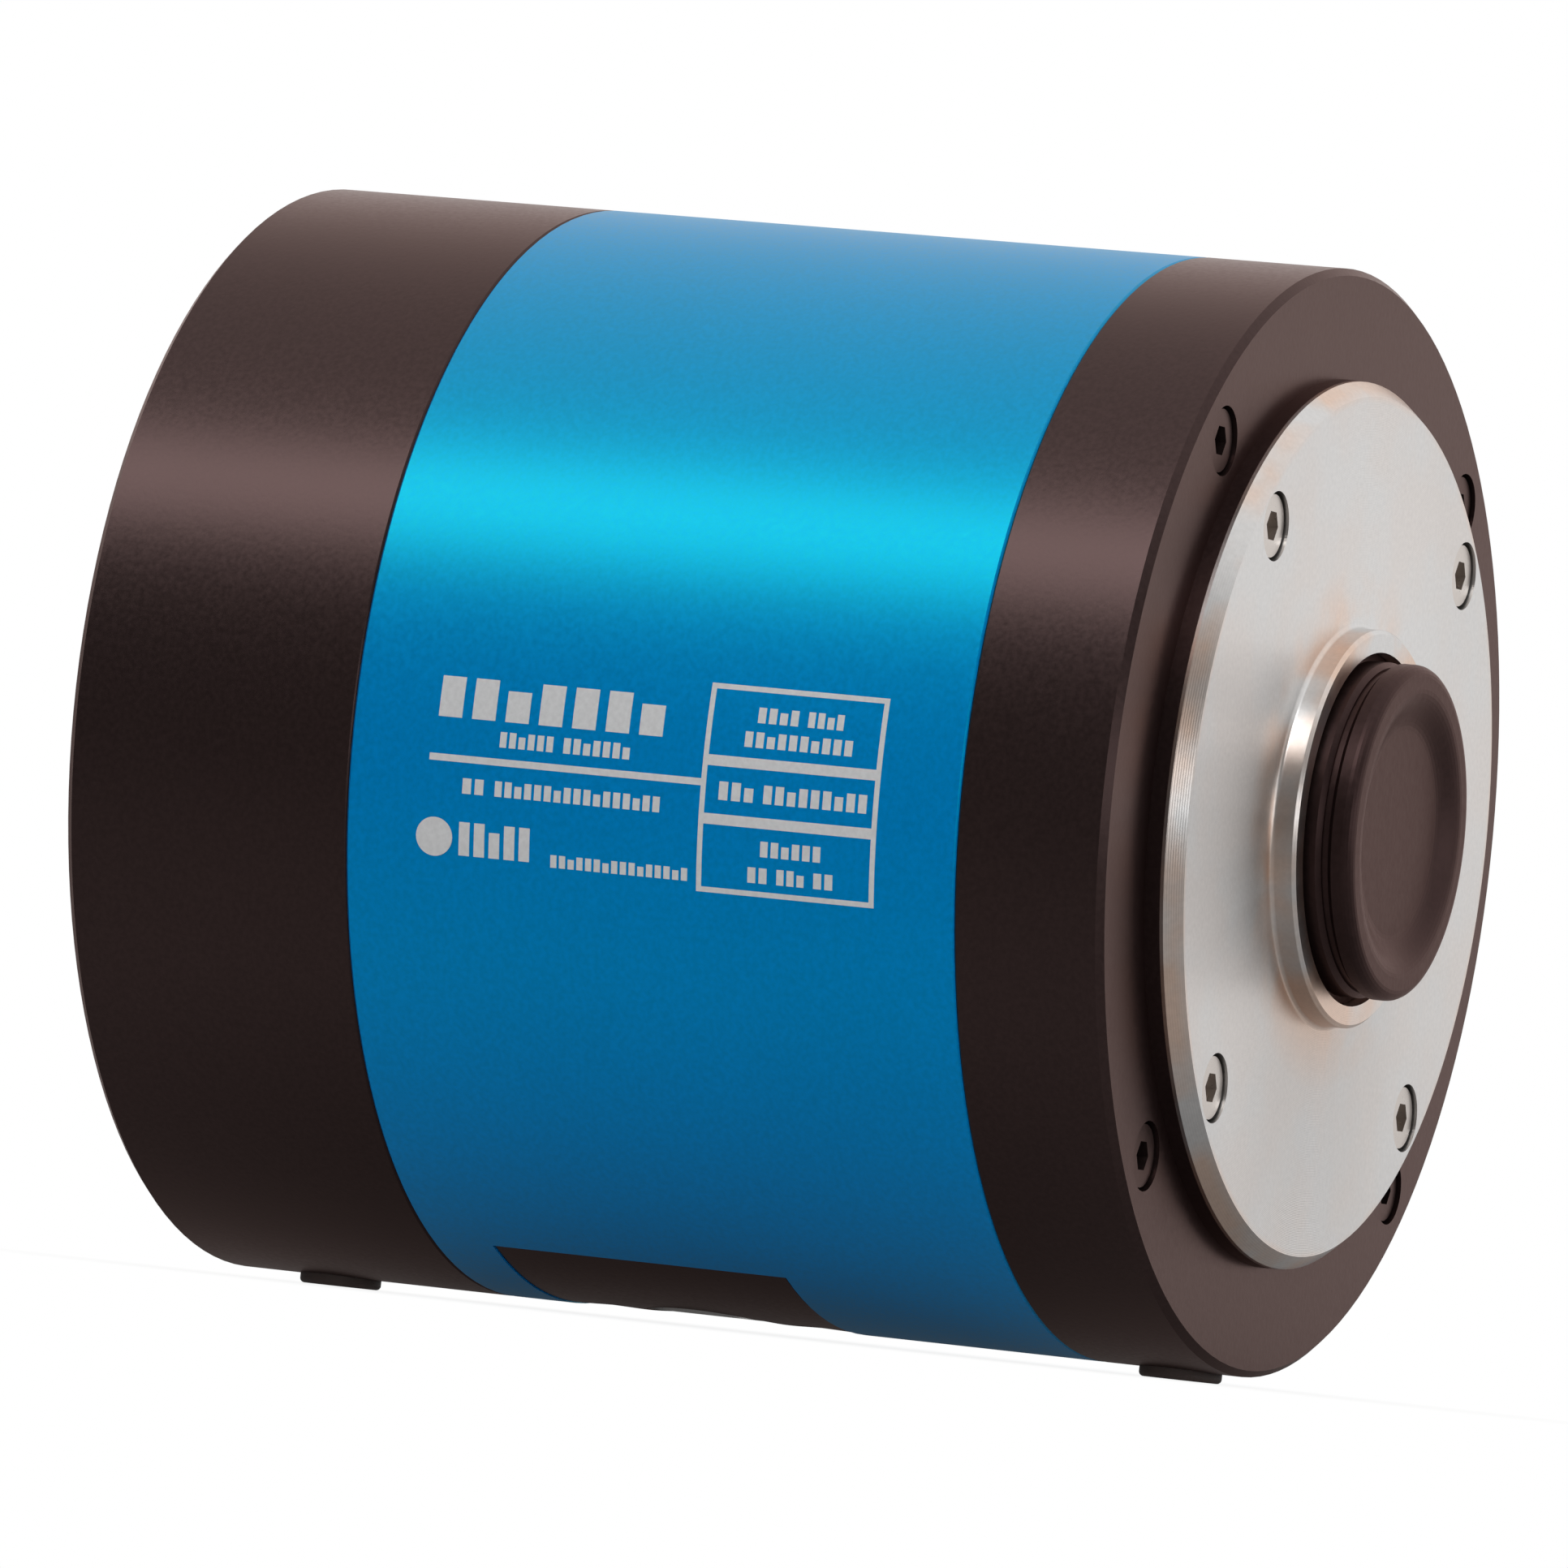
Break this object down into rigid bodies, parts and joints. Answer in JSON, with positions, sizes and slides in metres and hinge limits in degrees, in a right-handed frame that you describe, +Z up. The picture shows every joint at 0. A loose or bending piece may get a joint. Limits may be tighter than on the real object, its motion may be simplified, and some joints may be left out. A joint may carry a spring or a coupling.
{
  "type": "guide camera",
  "caption": "Cylindrical cooled guide camera with a threaded lens mount at the front, a coloured sleeve between two black end sections, and a fan and sockets in its rear face.",
  "frame": {"origin": "centre of the C-mount seat, the front face of the flange's boss, on the optical axis", "axes": "Y is the optical axis: the lens side faces -Y and the rear grille faces +Y; +Z is up and the feet and tripod socket are underneath; +X is to the right when looking along +Y"},
  "size_m": [0.08, 0.0877, 0.0807],
  "materials": {
    "plug_plastic": "satin, fine grain",
    "turned_aluminium": "fine turned, satin",
    "black_anodised": "satin black anodised, bead blasted",
    "blue_anodised": "satin blue anodised, bead blasted",
    "steel_screws": "bright machined",
    "black_screws": "black oxide",
    "seal_rubber": "smooth",
    "foot_rubber": "matte",
    "clear_glass": "polished, coated",
    "dark_anodised_ring": "matte black anodised",
    "white_plastic": "machined",
    "ceramic_package": "fired, matte",
    "silicon_die": "polished",
    "green_board": "solder mask",
    "heat_metal": "machined",
    "white_ceramic": "fired, matte",
    "pellet_metal": "cut",
    "black_moulding": "moulded",
    "gold_contacts": "gold plated",
    "steel_parts": "plated",
    "blue_plastic": "moulded",
    "lamp_lens": "clear moulded",
    "fan_plastic": "moulded",
    "bush_bronze": "sintered",
    "copper_winding": "enamelled wire",
    "magnet_ferrite": "pressed",
    "lead_insulation": "extruded"
  },
  "bodies": {
    "housing": {"c_mount_flange": "turned_aluminium", "front_ring": "black_anodised", "rear_casing": "black_anodised", "base_pad": "black_anodised", "sleeve": "blue_anodised", "flange_screws": "steel_screws", "chamber_screws": "steel_screws", "sensor_board_screws": "steel_screws", "main_board_screws": "steel_screws", "front_ring_screws": "black_screws", "rear_screws": "black_screws", "base_pad_screws": "black_screws", "fan_screws": "black_screws", "flange_o_ring": "seal_rubber", "window_gasket": "seal_rubber", "chamber_seals": "seal_rubber", "rubber_feet": "foot_rubber", "window_glass": "clear_glass", "sensor_cover_glass": "clear_glass", "window_retainer": "dark_anodised_ring", "chamber_ring": "white_plastic", "sensor_standoffs": "white_plastic", "sensor_package": "ceramic_package", "sensor_die": "silicon_die", "sensor_board": "green_board", "main_board": "green_board", "io_board": "green_board", "heat_sink": "heat_metal", "cold_finger": "heat_metal", "peltier_cold_plate": "white_ceramic", "peltier_hot_plate": "white_ceramic", "peltier_pellets": "pellet_metal", "sensor_header": "black_moulding", "board_connector": "black_moulding", "io_header": "black_moulding", "dc_jack": "black_moulding", "main_board_chips": "black_moulding", "feedthrough_potting": "black_moulding", "feedthrough_pins": "gold_contacts", "dc_jack_pin": "gold_contacts", "tripod_insert": "steel_parts", "usb_socket": "steel_parts", "io_board_posts": "steel_parts", "usb_tongue": "blue_plastic", "status_led": "lamp_lens", "fan_frame": "fan_plastic", "fan_bush": "bush_bronze", "fan_stator": "copper_winding", "fan_lead": "lead_insulation"},
    "plug": {"dust_plug": "plug_plastic"},
    "rotor": {"fan_rotor": "fan_plastic", "rotor_magnet": "magnet_ferrite", "fan_shaft": "steel_parts"}
  },
  "joints": [
    {"name": "plug_pull", "type": "slide", "parent": "housing", "child": "plug", "axis": [0, -1, 0], "range_m": [0, 0.04]},
    {"name": "fan_spin", "type": "hinge", "parent": "housing", "child": "rotor", "pos_m": [0, 0.076, 0.006], "axis": [0, 1, 0], "continuous": true}
  ]
}
